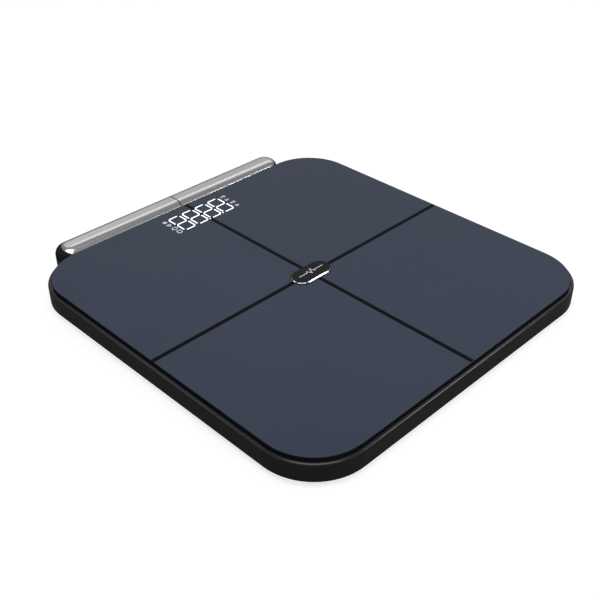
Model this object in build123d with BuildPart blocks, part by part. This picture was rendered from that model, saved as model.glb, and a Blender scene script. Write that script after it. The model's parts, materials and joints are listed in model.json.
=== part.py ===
from build123d import *

import math
import os

# Digital body-analysis bathroom scale: square coated-glass platform, black housing, lift-off handle bar.
# The origin is the middle of the whole object's base: X to the reader's right, Y towards the handle, Z up.
# Heights are millimetres above the floor. Platform sketches are placed by level(), centred on the glass.

os.makedirs("parts", exist_ok=True)

# ---------------------------------------------------------------- driving dimensions
GLASS = 300.0  # side of the square glass platform
GLASS_CORNER = 40.3
GLASS_THICK = 4.0
GLASS_EDGE = 0.15  # small bevel round the glass
COAT = 0.1  # conductive coating and print on the glass
DIVIDER = 3.6  # width of the dark cross between the four electrodes

TOP = 22.0  # walking surface above the floor
BASE = 5.0  # underside of the base cover above the floor
SKIRT = 4.4  # the housing's lower edge stands a little below the cover
RIM_TOP = 19.2  # the housing's rim stands lower than the glass
RIM_OUT = 3.0  # the housing stands this far outside the glass
RIM_ROUND = 1.7
WALL = 2.4
PLATE = 2.4  # base cover thickness
GLASS_GAP = 0.8
TAPE = 0.6  # foam tape under the glass
TAPE_WIDTH = 7.0

BAR_LENGTH = 235.6  # handle bar, end to end
BAR_DEPTH = 22.9
BAR_TOP = TOP + 0.2
BAR_GAP = 0.5  # between the housing and the bar
BAR_DOME = 8.4  # radius that rounds the bar's top
BAR_SPLIT = 13.2  # underside of the bar's overhanging upper half
BAR_BOTTOM = 7.6

CELL_XY = 110.0  # load cells, from the platform's centre
CELL = 34.0
CELL_THICK = 1.8
CELL_SEAT = 9.6  # underside of the load cells
FOOT_R = 18.5
FOOT_HOLE_R = 20.5

REEL_X, REEL_Y = -21.0, 80.0
LEAD_R = 1.0  # radius of the handle's lead
LEAD_Z = 10.4
LEAD_BEND = 6.0
WINDING_R = 21.0  # middle line of the outermost turn

BAY_X, BAY_Y = -40.0, -62.0  # battery bay centre
BAY_W, BAY_L = 46.4, 51.0
BOARD_X, BOARD_Y = 48.0, -52.0
BOARD_THICK = 1.2
BUTTON_X, BUTTON_Y = 40.0, -62.0

# ---------------------------------------------------------------- derived dimensions
HALF = GLASS / 2
OUT_HALF = HALF + RIM_OUT
BAR_R = BAR_DEPTH / 2
BAR_Y = OUT_HALF + BAR_GAP + BAR_R  # bar centre line, from the platform's centre
PLATFORM_Y = -(BAR_Y + BAR_R - OUT_HALF) / 2  # puts the origin in the middle of the whole object
GLASS_LOW = TOP - GLASS_THICK
FLANGE = 1.4
SEAT = GLASS_LOW - TAPE  # top of the flange that carries the glass
INNER_HALF = OUT_HALF - WALL
INNER_CORNER = GLASS_CORNER + RIM_OUT - WALL
BASE_TOP = BASE + PLATE
RIB_TOP = 9.2
CORNERS = {"front_left": (-1, -1), "front_right": (1, -1), "rear_left": (-1, 1), "rear_right": (1, 1)}
CELL_SPOTS = [(sx * CELL_XY, sy * CELL_XY) for sx, sy in CORNERS.values()]
SCREW_EDGE = 144.0  # cover screws, from the centre lines
SCREW_SIDE, SCREW_END = 62.0, 78.0
SCREW_SPOTS = [
    (sx * x, sy * y)
    for x, y in ((SCREW_EDGE, SCREW_SIDE), (SCREW_END, SCREW_EDGE))
    for sx in (-1, 1)
    for sy in (-1, 1)
]
TONGUE_W, TONGUE_IN = 110.0, 139.0  # the dock's tongue reaches in under the housing wall
DOCK_SCREWS = [(-40, TONGUE_IN + 6), (40, TONGUE_IN + 6)]
THROUGH = 20.0  # longer than anything that a cut has to pass through
SLIP = 0.3  # clearance round pieces that lie inside one another


def level(z):
    """Sketch plane at height z, centred on the glass platform."""
    return Plane(origin=(0, PLATFORM_Y, z))


def bar_level(z):
    """Sketch plane at height z, centred on the handle bar."""
    return Plane(origin=(0, PLATFORM_Y + BAR_Y, z))


def across(x):
    """Sketch plane through x that looks along X: its own X is the platform's Y, its own Y is Z."""
    return Plane(origin=(x, PLATFORM_Y, 0), x_dir=(0, 1, 0), z_dir=(1, 0, 0))


def upright(y):
    """Upright sketch plane through the platform's y: its own Y is Z, and it extrudes towards -Y."""
    return Plane.XZ.offset(-(PLATFORM_Y + y))


def save(piece, name):
    """Labels a finished piece and writes its STEP file."""
    piece.part.label = name
    export_step(piece.part, f"parts/{name}.step")


def stadium(length, depth, mode=Mode.ADD):
    """A bar outline with half-round ends, added to or cut from the open sketch."""
    SlotOverall(length, depth, mode=mode)


def traced(points, width):
    """One stroke of even width along points, added to the open sketch."""
    with BuildLine() as line:
        Polyline(*points)
    trace(line.edges(), line_width=width)


# ================================================================ platform
with BuildPart() as glass_platform:
    with BuildSketch(level(GLASS_LOW)):
        RectangleRounded(GLASS, GLASS, GLASS_CORNER)
    extrude(amount=GLASS_THICK - COAT)
    chamfer(glass_platform.faces().sort_by(Axis.Z)[-1].edges(), GLASS_EDGE)
    chamfer(glass_platform.faces().sort_by(Axis.Z)[0].edges(), GLASS_EDGE)
save(glass_platform, "glass_platform")

BADGE_L, BADGE_W, BADGE_H = 36.0, 17.0, 1.9
BADGE_FIELD = 1.0  # the bare ink field is this much larger than the badge
COAT_INSET = GLASS_EDGE + 0.05
COATED = GLASS - 2 * COAT_INSET
for corner, (sx, sy) in CORNERS.items():
    with BuildPart() as electrode:
        with BuildSketch(level(TOP - COAT)):
            RectangleRounded(COATED, COATED, GLASS_CORNER - COAT_INSET)
            with Locations((sx * (HALF + DIVIDER) / 2, sy * (HALF + DIVIDER) / 2)):
                Rectangle(HALF, HALF, mode=Mode.INTERSECT)
            stadium(BADGE_L + BADGE_FIELD, BADGE_W + BADGE_FIELD, mode=Mode.SUBTRACT)
        extrude(amount=COAT)
    save(electrode, f"electrode_{corner}")

with BuildPart() as divider_print:  # dark cross with the badge's field in its middle
    with BuildSketch(level(TOP - COAT)):
        Rectangle(DIVIDER, COATED)
        Rectangle(COATED, DIVIDER)
        stadium(BADGE_L + BADGE_FIELD, BADGE_W + BADGE_FIELD)
    extrude(amount=COAT)
save(divider_print, "divider_print")

TAPE_INSET = 1.5
with BuildPart() as glass_tape:
    with BuildSketch(level(SEAT)):
        for inset, mode in ((TAPE_INSET, Mode.ADD), (TAPE_INSET + TAPE_WIDTH, Mode.SUBTRACT)):
            RectangleRounded(GLASS - 2 * inset, GLASS - 2 * inset, GLASS_CORNER - inset, mode=mode)
    extrude(amount=TAPE)
save(glass_tape, "glass_tape")

# ---------------------------------------------------------------- centre badge
BADGE_PLINTH = 0.35  # the plinth's height, and the clearance under the chrome band
PLINTH_INSET = 0.5
BAND_TOP, BAND_SLOPE, BAND_WIDTH = 1.1, 0.6, 0.8  # the band's outer side leans in by BAND_SLOPE
BADGE_CAP_TOP = 1.82
CAP_INSET, CAP_ROUND = 0.63, 0.3
FIT = 0.02  # press fit of the band round the core
with BuildPart() as badge_plate:  # plinth, core and cap in one black moulding
    for low, high, inset in (
        (0, BADGE_PLINTH, PLINTH_INSET),
        (BADGE_PLINTH, BAND_TOP + FIT, BAND_WIDTH + FIT),
        (BAND_TOP + FIT, BADGE_CAP_TOP, CAP_INSET),
    ):
        with BuildSketch(level(TOP + low)):
            stadium(BADGE_L - 2 * inset, BADGE_W - 2 * inset)
        extrude(amount=high - low)
    fillet(badge_plate.faces().sort_by(Axis.Z)[-1].edges(), CAP_ROUND)
save(badge_plate, "badge_plate")

with BuildPart() as badge_rim:  # sloping chrome band between the plinth and the cap
    with BuildSketch(level(TOP + BADGE_PLINTH + FIT)):
        stadium(BADGE_L, BADGE_W)
    with BuildSketch(level(TOP + BAND_TOP)):
        stadium(BADGE_L - 2 * BAND_SLOPE, BADGE_W - 2 * BAND_SLOPE)
    loft()
    with BuildSketch(level(TOP)):
        stadium(BADGE_L - 2 * BAND_WIDTH, BADGE_W - 2 * BAND_WIDTH)
    extrude(amount=BADGE_H, mode=Mode.SUBTRACT)
save(badge_rim, "badge_rim")

PULSE = [(-12.5, 0), (-4.4, 0), (-3.0, 1.5), (-1.0, -2.4), (1.2, 2.9), (2.8, -1.1), (4.0, 0), (12.5, 0)]
with BuildPart() as badge_mark:
    with BuildSketch(level(TOP + BADGE_CAP_TOP)):
        traced(PULSE, 0.8)
    extrude(amount=BADGE_H - BADGE_CAP_TOP)
save(badge_mark, "badge_mark")

# ---------------------------------------------------------------- lit display
DIGIT_X = (-21.3, -7.3, 6.6, 20.6)  # digit centres
DIGIT_Y = 127.9
DIGIT_W, DIGIT_H = 10.9, 22.6  # between stroke middle lines
STROKE = 1.1
CUT = 1.6  # corners of the strokes are cut off at 45 degrees
BREAK = 1.7  # gap between neighbouring strokes
POINT_W, POINT_H = 0.9, 1.3
GLOW = 0.06  # the lit shapes stand this far proud of the coating


def digit_strokes(x, y):
    """The three joined strokes of one figure 8, as lists of points."""
    left, right = x - DIGIT_W / 2, x + DIGIT_W / 2
    low, high = y - DIGIT_H / 2, y + DIGIT_H / 2
    yield [(left, y + BREAK), (left, high - CUT), (left + CUT, high), (right - BREAK, high)]
    yield [
        (right, high - BREAK),
        (right, y + CUT),
        (right - CUT, y),
        (left + CUT, y),
        (left, y - CUT),
        (left, low + BREAK),
    ]
    yield [(right, y - BREAK), (right, low + CUT), (right - CUT, low), (left + BREAK, low)]


with BuildPart() as display_digits:
    for digit_x in DIGIT_X:
        for stroke in digit_strokes(digit_x, DIGIT_Y):
            with BuildSketch(level(TOP)):
                traced(stroke, STROKE)
            extrude(amount=GLOW)
    with BuildSketch(level(TOP)):  # points between the middle and the right-hand figures
        for before, after in zip(DIGIT_X[1:], DIGIT_X[2:]):
            with Locations(((before + after) / 2, DIGIT_Y - DIGIT_H / 2)):
                Rectangle(POINT_W, POINT_H)
    extrude(amount=GLOW)
save(display_digits, "display_digits")

ICON_ROWS = (137.6, 131.4, 124.6, 118.2)
ICON_LEFT, ICON_RIGHT = -31.5, 31.6
FINE = 0.42
STAR_R = 2.1
SIGNAL_LOW, SIGNAL_ARCS, SIGNAL_DOT = 1.6, (1.9, 3.3), 0.45
RING_X, RING_Y = 2.5, 1.9
FRAME_X, FRAME_Y, FRAME_CORNER = 4.1, 4.3, 1.1
METER_BARS = (4, 3, 4, 3)
METER_PITCH, METER_HIGH, METER_STEP = 1.3, 3.2, 0.7
with BuildPart() as display_icons:
    for turn in range(3):
        with BuildSketch(level(TOP)):  # star of three crossed strokes
            way = math.radians(90 + 60 * turn)
            across_x, across_y = STAR_R * math.cos(way), STAR_R * math.sin(way)
            near = (ICON_LEFT - across_x, ICON_ROWS[0] - across_y)
            far = (ICON_LEFT + across_x, ICON_ROWS[0] + across_y)
            traced([near, far], FINE)
        extrude(amount=GLOW)
    with BuildSketch(level(TOP)):  # signal: dot under two arcs
        with Locations((ICON_LEFT, ICON_ROWS[1] - SIGNAL_LOW)):
            Circle(SIGNAL_DOT)
        for radius in SIGNAL_ARCS:
            with BuildLine() as arc:
                CenterArc((ICON_LEFT, ICON_ROWS[1] - SIGNAL_LOW), radius, 45, 90)
            trace(arc.edges(), line_width=FINE)
    extrude(amount=GLOW)
    with BuildSketch(level(TOP)):  # ring
        with Locations((ICON_LEFT, ICON_ROWS[2])):
            Ellipse(RING_X, RING_Y)
            Ellipse(RING_X - FINE, RING_Y - FINE, mode=Mode.SUBTRACT)
    extrude(amount=GLOW)
    with BuildSketch(level(TOP)):  # rounded square
        with Locations((ICON_LEFT, ICON_ROWS[3])):
            RectangleRounded(FRAME_X, FRAME_Y, FRAME_CORNER)
            RectangleRounded(FRAME_X - 2 * FINE, FRAME_Y - 2 * FINE, FRAME_CORNER - FINE, mode=Mode.SUBTRACT)
    extrude(amount=GLOW)
    for row, bars in zip(ICON_ROWS, METER_BARS):  # level meters: a few upright bars on each row
        with BuildSketch(level(TOP)):
            for index in range(bars):
                with Locations((ICON_RIGHT + (index - 1.5) * METER_PITCH, row)):
                    Rectangle(FINE, METER_HIGH - METER_STEP * ((index + bars) % 3))
        extrude(amount=GLOW)
save(display_icons, "display_icons")

LIGHTBOX_W, LIGHTBOX_D, LIGHTBOX_Y = 76.0, 27.4, 127.7
DISPLAY_BOARD_Z = 12.2
LIGHTBOX_LOW = DISPLAY_BOARD_Z + BOARD_THICK
WELL_W, WELL_D, WELL_FLOOR = 8.0, 7.0, 1.0  # light wells, two behind each figure
with BuildPart() as display_lightbox:
    with BuildSketch(level(LIGHTBOX_LOW)):
        with Locations((0, LIGHTBOX_Y)):
            Rectangle(LIGHTBOX_W, LIGHTBOX_D)
    extrude(amount=GLASS_LOW - LIGHTBOX_LOW - 0.1)
    with BuildSketch(level(LIGHTBOX_LOW + WELL_FLOOR)):
        for digit_x in DIGIT_X:
            with Locations((digit_x, DIGIT_Y + DIGIT_H / 4), (digit_x, DIGIT_Y - DIGIT_H / 4)):
                Rectangle(WELL_W, WELL_D)
    extrude(amount=THROUGH, mode=Mode.SUBTRACT)
save(display_lightbox, "display_lightbox")

with BuildPart() as display_board:
    with BuildSketch(level(DISPLAY_BOARD_Z)):
        with Locations((0, LIGHTBOX_Y + 1.1)):
            Rectangle(LIGHTBOX_W + 8, LIGHTBOX_D + 5.6)
    extrude(amount=BOARD_THICK)
save(display_board, "display_board")

# ================================================================ housing
OPENING = GLASS - 22  # side of the opening under the glass
BOSS_R, BOSS_BORE = 4.0, 1.45
OUTLET_R = 2.3
BOTTOM_BEVEL = 0.6
with BuildPart() as frame:
    with BuildSketch(level(SKIRT)):
        RectangleRounded(2 * OUT_HALF, 2 * OUT_HALF, GLASS_CORNER + RIM_OUT)
    extrude(amount=RIM_TOP - SKIRT)
    fillet(frame.faces().sort_by(Axis.Z)[-1].edges(), RIM_ROUND)
    chamfer(frame.faces().sort_by(Axis.Z)[0].edges(), BOTTOM_BEVEL)
    with BuildSketch(level(SKIRT)):
        RectangleRounded(2 * INNER_HALF, 2 * INNER_HALF, INNER_CORNER)
    extrude(amount=SEAT - FLANGE - SKIRT, mode=Mode.SUBTRACT)
    with BuildSketch(level(SKIRT)):
        RectangleRounded(OPENING, OPENING, GLASS_CORNER - (GLASS - OPENING) / 2)
    extrude(amount=TOP - SKIRT, mode=Mode.SUBTRACT)
    with BuildSketch(level(SEAT)):
        RectangleRounded(GLASS + 2 * GLASS_GAP, GLASS + 2 * GLASS_GAP, GLASS_CORNER + GLASS_GAP)
    extrude(amount=TOP - SEAT, mode=Mode.SUBTRACT)
    with BuildSketch(level(SEAT - FLANGE)):  # room for the display behind the rear edge
        with Locations((0, LIGHTBOX_Y)):
            Rectangle(LIGHTBOX_W + 1, LIGHTBOX_D + 1)
    extrude(amount=FLANGE, mode=Mode.SUBTRACT)
    with BuildSketch(level(RIB_TOP)):  # screw bosses
        with Locations(*SCREW_SPOTS):
            Circle(BOSS_R)
            Circle(BOSS_BORE, mode=Mode.SUBTRACT)
    extrude(amount=SEAT - FLANGE - RIB_TOP)
    with BuildSketch(level(SKIRT)):  # notch that the dock's tongue passes through
        with Locations((0, INNER_HALF + WALL / 2)):
            Rectangle(TONGUE_W + 0.4, WALL + 2)
    extrude(amount=BASE_TOP + 0.1 - SKIRT, mode=Mode.SUBTRACT)
    with Locations((0, PLATFORM_Y + OUT_HALF - WALL / 2, LEAD_Z)):  # lead outlet
        Cylinder(OUTLET_R, WALL + 2, rotation=(90, 0, 0), mode=Mode.SUBTRACT)
save(frame, "frame")

BASE_HALF = INNER_HALF - SLIP
RIB, RIB_PITCH, RIB_LENGTH = 1.4, 26.0, 250.0
CELL_TURRET_R, CELL_TURRET_TOP = 26.0, 12.0
POST_R = 2.6
POST_SPOTS = [(BOARD_X + sx * 24, BOARD_Y + sy * 18) for sx in (-1, 1) for sy in (-1, 1)]
SCREW_HEAD_R = 2.8
HINGE_Z = BASE + 1.2
HINGE_R = 0.7
HINGE_Y = BAY_Y + BAY_L / 2 - 1.8
HINGE_RUN = 0.05  # running clearance of the door's pivots
with BuildPart() as base_cover:
    with BuildSketch(level(BASE)):
        RectangleRounded(2 * BASE_HALF, 2 * BASE_HALF, INNER_CORNER - SLIP)
        with Locations((0, BASE_HALF)):
            Rectangle(TONGUE_W + 0.6, 2 * (BASE_HALF - TONGUE_IN), mode=Mode.SUBTRACT)
    extrude(amount=PLATE)
    with BuildSketch(level(BASE_TOP)):  # stiffening ribs, clear of everything that sits on the plate
        for step in range(-4, 5):
            with Locations((step * RIB_PITCH, 0)):
                Rectangle(RIB, RIB_LENGTH)
            with Locations((0, step * RIB_PITCH)):
                Rectangle(RIB_LENGTH, RIB)
        with Locations(*CELL_SPOTS):
            Circle(CELL_TURRET_R - 0.5, mode=Mode.SUBTRACT)
        with Locations((BAY_X, BAY_Y)):
            Rectangle(BAY_W + 8, BAY_L + 8, mode=Mode.SUBTRACT)
        with Locations((REEL_X, REEL_Y)):
            Circle(32, mode=Mode.SUBTRACT)
        with Locations((0, 118)):  # the lead's way out
            Rectangle(8, 60, mode=Mode.SUBTRACT)
        with Locations((BUTTON_X, BUTTON_Y)):
            Circle(8, mode=Mode.SUBTRACT)
    extrude(amount=RIB_TOP - BASE_TOP)
    with BuildSketch(level(BASE_TOP)):  # load cell turrets and board posts
        with Locations(*CELL_SPOTS):
            Circle(CELL_TURRET_R)
        with Locations(*POST_SPOTS):
            Circle(POST_R)
    extrude(amount=CELL_TURRET_TOP - BASE_TOP)
    with BuildSketch(level(BASE_TOP)):  # pads under the screw bosses
        with Locations(*SCREW_SPOTS):
            Circle(BOSS_R + 0.6)
    extrude(amount=RIB_TOP - 0.2 - BASE_TOP)
    with BuildSketch(level(CELL_SEAT)):
        with Locations(*CELL_SPOTS):
            RectangleRounded(CELL + 0.5, CELL + 0.5, 3.2)
        with Locations(*[(sx * (CELL_XY - 22), sy * CELL_XY) for sx, sy in CORNERS.values()]):
            Rectangle(14, 3.6)  # channel for the cell's lead
    extrude(amount=4, mode=Mode.SUBTRACT)
    with BuildSketch(level(BASE)):  # openings for the feet, the battery door, the button and the screws
        with Locations(*CELL_SPOTS):
            Circle(FOOT_HOLE_R)
        with Locations((BAY_X, BAY_Y)):
            Rectangle(BAY_W, BAY_L)
        with Locations((BUTTON_X, BUTTON_Y)):
            Circle(3.9)
        with Locations(*SCREW_SPOTS):
            Circle(1.7)
    extrude(amount=THROUGH, mode=Mode.SUBTRACT)
    with BuildSketch(level(BASE)):
        with Locations(*SCREW_SPOTS):
            Circle(SCREW_HEAD_R + SLIP)
    extrude(amount=2.6, mode=Mode.SUBTRACT)
    with BuildSketch(across(BAY_X)):  # bores for the door's two pivots
        with Locations((HINGE_Y, HINGE_Z)):
            Circle(HINGE_R + HINGE_RUN)
    extrude(amount=BAY_W / 2 + 1.8, both=True, mode=Mode.SUBTRACT)
save(base_cover, "base_cover")

# ---------------------------------------------------------------- battery bay
AAA_R, AAA_L = 5.15, 44.5
AAA_PITCH = 11.2
AAA_Z = BASE_TOP + AAA_R + 0.05
AAA_X = [BAY_X + (index - 1.5) * AAA_PITCH for index in range(4)]
BUTTON_TIP_R, BUTTON_TIP = 1.9, 0.8  # the positive end's small cap
BAY_WALL, BAY_HIGH = 1.5, 17.4
with BuildPart() as battery_bay:
    with BuildSketch(level(BASE_TOP)):
        with Locations((BAY_X, BAY_Y)):
            Rectangle(BAY_W + 2 * BAY_WALL, BAY_L + 2 * BAY_WALL)
            Rectangle(BAY_W, BAY_L, mode=Mode.SUBTRACT)
    extrude(amount=BAY_HIGH - BASE_TOP)
save(battery_bay, "battery_bay")

with BuildPart() as batteries:  # four AAA cells, every second one turned round
    for index, cell_x in enumerate(AAA_X):
        way = 1 if index % 2 else -1
        with BuildSketch(upright(BAY_Y - way * AAA_L / 2)):
            with Locations((cell_x, AAA_Z)):
                Circle(AAA_R)
        extrude(amount=-way * (AAA_L - BUTTON_TIP))
        with BuildSketch(upright(BAY_Y + way * (AAA_L / 2 - BUTTON_TIP))):
            with Locations((cell_x, AAA_Z)):
                Circle(BUTTON_TIP_R)
        extrude(amount=-way * BUTTON_TIP)
save(batteries, "batteries")

CONTACT_GAP = (BAY_L - AAA_L) / 2
CONTACT_PLATE = 0.4
with BuildPart() as battery_contacts:  # a plate with a tapered spring stub at both ends of each cell
    for cell_x in AAA_X:
        for way in (-1, 1):
            with BuildSketch(upright(BAY_Y + way * (BAY_L / 2 - 0.1))):
                with Locations((cell_x, AAA_Z)):
                    RectangleRounded(8.6, 8.0, 1.0)
            extrude(amount=way * CONTACT_PLATE)
            with BuildSketch(upright(BAY_Y + way * (BAY_L / 2 - 0.1 - CONTACT_PLATE))):
                with Locations((cell_x, AAA_Z)):
                    Circle(2.6)
            extrude(amount=way * (CONTACT_GAP - 0.7), taper=12)
save(battery_contacts, "battery_contacts")

DOOR_W, DOOR_L, DOOR_T = BAY_W - 0.6, BAY_L - 1.2, 2.0
with BuildPart() as battery_door:
    with BuildSketch(level(BASE)):
        with Locations((BAY_X, BAY_Y)):
            Rectangle(DOOR_W, DOOR_L)
    extrude(amount=DOOR_T)
    rear_edge = battery_door.faces().sort_by(Axis.Y)[-1].edges().sort_by(Axis.Z)[0]
    fillet(rear_edge, 0.5)
    with BuildSketch(level(BASE)):  # finger notch
        with Locations((BAY_X, BAY_Y - DOOR_L / 2)):
            SlotOverall(14, 7)
    extrude(amount=1.0, mode=Mode.SUBTRACT)
    with BuildSketch(level(BASE)):  # grip grooves, each shorter than the last
        for row in range(3):
            with Locations((BAY_X, BAY_Y - 14 + row * 2.6)):
                SlotOverall(22 - 4 * row, 1.2)
    extrude(amount=0.5, mode=Mode.SUBTRACT)
    with BuildSketch(across(BAY_X)):  # pivots
        with Locations((HINGE_Y, HINGE_Z)):
            Circle(HINGE_R)
    extrude(amount=BAY_W / 2 + 1.4, both=True)
save(battery_door, "battery_door")

# ---------------------------------------------------------------- feet and load cells
GAUGE_BEAM_W, GAUGE_BEAM_L = 12.0, 6.0  # the beam that joins a cell's outer frame to its middle
CUP_LOW, CUP_TOP = 2.0, 7.4
PAD_TOP = 3.2
for corner, (sx, sy) in CORNERS.items():
    spot = (sx * CELL_XY, sy * CELL_XY)
    with BuildPart() as load_cell:
        with BuildSketch(level(CELL_SEAT)):
            with Locations(spot):
                RectangleRounded(CELL, CELL, 3)
                RectangleRounded(CELL - 7, CELL - 7, 2, mode=Mode.SUBTRACT)
                RectangleRounded(CELL - 10, CELL - 10, 2)
            with Locations((spot[0], spot[1] - sy * (CELL / 2 - 4))):
                Rectangle(GAUGE_BEAM_W, GAUGE_BEAM_L)
        extrude(amount=CELL_THICK)
    save(load_cell, f"load_cell_{corner}")

    with BuildPart() as foot_cup:
        with BuildSketch(level(CUP_LOW)):
            with Locations(spot):
                Circle(FOOT_R)
        extrude(amount=CUP_TOP - CUP_LOW)
        fillet(foot_cup.edges().group_by(Axis.Z)[0], 0.8)
        with BuildSketch(level(CUP_LOW)):
            with Locations(spot):
                Circle(FOOT_R - 1.6)
        extrude(amount=PAD_TOP - CUP_LOW, mode=Mode.SUBTRACT)
        with BuildSketch(level(CUP_TOP)):  # stub that bears on the load cell's middle
            with Locations(spot):
                Circle(6)
        extrude(amount=CELL_SEAT - CUP_TOP)
    save(foot_cup, f"foot_cup_{corner}")

    with BuildPart() as foot_pad:
        with BuildSketch(level(0)):
            with Locations(spot):
                Circle(FOOT_R - 1.7)
        extrude(amount=PAD_TOP)
        chamfer(foot_pad.edges().group_by(Axis.Z)[0], 0.6)
        with BuildSketch(level(0)):  # two ring grooves in the tread
            with Locations(spot):
                for inset in (5.0, 9.0):
                    Circle(FOOT_R - inset)
                    Circle(FOOT_R - inset - 1.2, mode=Mode.SUBTRACT)
        extrude(amount=0.5, mode=Mode.SUBTRACT)
    save(foot_pad, f"foot_pad_{corner}")

with BuildPart() as strain_gauges:  # sealant over the gauge on each cell's bending beam
    for sx, sy in CORNERS.values():
        with BuildSketch(level(CELL_SEAT + CELL_THICK)):
            with Locations((sx * CELL_XY, sy * (CELL_XY - CELL / 2 + 5))):
                RectangleRounded(9, 7, 2)
        extrude(amount=1.2)
save(strain_gauges, "strain_gauges")

# ---------------------------------------------------------------- fasteners
HEAD_SINK, HEAD_HIGH = 0.8, 1.8
RECESS_LONG, RECESS_WIDE = 3.2, 0.8
with BuildPart() as cover_screws:
    with BuildSketch(level(BASE + HEAD_SINK)):
        with Locations(*SCREW_SPOTS):
            Circle(SCREW_HEAD_R)
    extrude(amount=HEAD_HIGH)
    with BuildSketch(level(BASE + HEAD_SINK)):  # cross recess
        with Locations(*SCREW_SPOTS):
            Rectangle(RECESS_LONG, RECESS_WIDE)
            Rectangle(RECESS_WIDE, RECESS_LONG)
    extrude(amount=HEAD_HIGH / 2, mode=Mode.SUBTRACT)
    with BuildSketch(level(BASE + HEAD_SINK + HEAD_HIGH)):
        with Locations(*SCREW_SPOTS):
            Circle(BOSS_BORE - 0.05)
    extrude(amount=7.4)
save(cover_screws, "cover_screws")

# ================================================================ electronics
BOARD_Z = CELL_TURRET_TOP
BOARD_TOP = BOARD_Z + BOARD_THICK
BOARD_SCREW_R = 1.1
# each chip's x, y, width and length, from the board's middle
CHIPS = [(-14, 8, 16, 12), (6, 4, 9, 9), (18, -8, 6, 5), (-6, -12, 12, 5), (12, -15, 8, 4)]
HEADER_X, HEADER_Y, HEADER_LOW = 25.9, (-62, -44), RIB_TOP + 0.1
with BuildPart() as main_board:
    with BuildSketch(level(BOARD_Z)):
        with Locations((BOARD_X, BOARD_Y)):
            RectangleRounded(56, 44, 2)
        with Locations(*POST_SPOTS):
            Circle(BOARD_SCREW_R + 0.1, mode=Mode.SUBTRACT)
    extrude(amount=BOARD_THICK)
save(main_board, "main_board")

with BuildPart() as board_parts:  # radio module, processor, capacitors and plug headers
    with BuildSketch(level(BOARD_TOP)):
        for x, y, width, length in CHIPS:
            with Locations((BOARD_X + x, BOARD_Y + y)):
                Rectangle(width, length)
    extrude(amount=2.0)
    with BuildSketch(level(HEADER_LOW)):  # headers for the four cell leads
        with Locations(*[(BOARD_X + sx * HEADER_X, y) for sx in (-1, 1) for y in HEADER_Y]):
            Rectangle(4, 5)
    extrude(amount=BOARD_Z - HEADER_LOW)
save(board_parts, "board_parts")

SWITCH_LOW, SWITCH_BODY = 8.9, 9.7
with BuildPart() as button_switch:
    with BuildSketch(level(SWITCH_LOW)):
        with Locations((BUTTON_X, BUTTON_Y)):
            Circle(1.6)
    extrude(amount=SWITCH_BODY - SWITCH_LOW)
    with BuildSketch(level(SWITCH_BODY)):
        with Locations((BUTTON_X, BUTTON_Y)):
            Rectangle(6, 6)
    extrude(amount=BOARD_Z - SWITCH_BODY)
save(button_switch, "button_switch")

with BuildPart() as unit_button:
    with BuildSketch(level(BASE + 0.3)):
        with Locations((BUTTON_X, BUTTON_Y)):
            Circle(3.7)
    extrude(amount=PLATE - 0.2)
    fillet(unit_button.edges().group_by(Axis.Z)[0], 0.5)
    with BuildSketch(level(BASE_TOP + 0.1)):  # collar that keeps the button in
        with Locations((BUTTON_X, BUTTON_Y)):
            Circle(5)
    extrude(amount=0.5)
save(unit_button, "unit_button")

with BuildPart() as board_screws:
    with BuildSketch(level(BOARD_TOP)):
        with Locations(*POST_SPOTS):
            Circle(2.2)
            Rectangle(2.6, 0.6, mode=Mode.SUBTRACT)
    extrude(amount=1.3)
    with BuildSketch(level(BOARD_Z)):
        with Locations(*POST_SPOTS):
            Circle(BOARD_SCREW_R)
    extrude(amount=BOARD_THICK)
save(board_screws, "board_screws")


def bend_radii(points):
    """The largest arc that fits each corner of a route, using up to 0.45 of the shorter run beside it."""
    runs = [Vector(b) - Vector(a) for a, b in zip(points, points[1:])]
    return [
        0.45 * min(before.length, after.length) / math.tan(math.radians(before.get_angle(after)) / 2)
        for before, after in zip(runs, runs[1:])
    ]


def lead_tube(points, radius, bends):
    """A round lead along straight runs joined by tangent arcs."""
    with BuildLine() as route:
        FilletPolyline(*points, radius=bends)
    path = route.wires()[0]
    with BuildSketch(Plane(origin=path @ 0, z_dir=path % 0)) as section:
        Circle(radius)
    sweep(section.sketch, path=path)


CABLE_Z, CABLE_R = 10.5, 0.8
CELL_LEADS = {  # from each cell, round what is in the way, to the headers at the main board's edges
    "front_left": [(-92.5, -110), (-66, -110), (-26, -106), (4, -94), (12, -64), (19.7, -62)],
    "front_right": [(92.5, -110), (80, -110), (84, -88), (86, -64), (76.3, -62)],
    "rear_left": [(-92.5, 110), (-76, 110), (-70, 60), (-50, 10), (-6, -14), (6, -42), (19.7, -44)],
    "rear_right": [(92.5, 110), (78, 110), (82, 60), (86, 0), (88, -36), (76.3, -44)],
}
with BuildPart() as cell_leads:
    for points in CELL_LEADS.values():
        spine = [(x, y + PLATFORM_Y, CABLE_Z) for x, y in points]
        lead_tube(spine, CABLE_R, bend_radii(spine))
save(cell_leads, "cell_leads")

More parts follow.
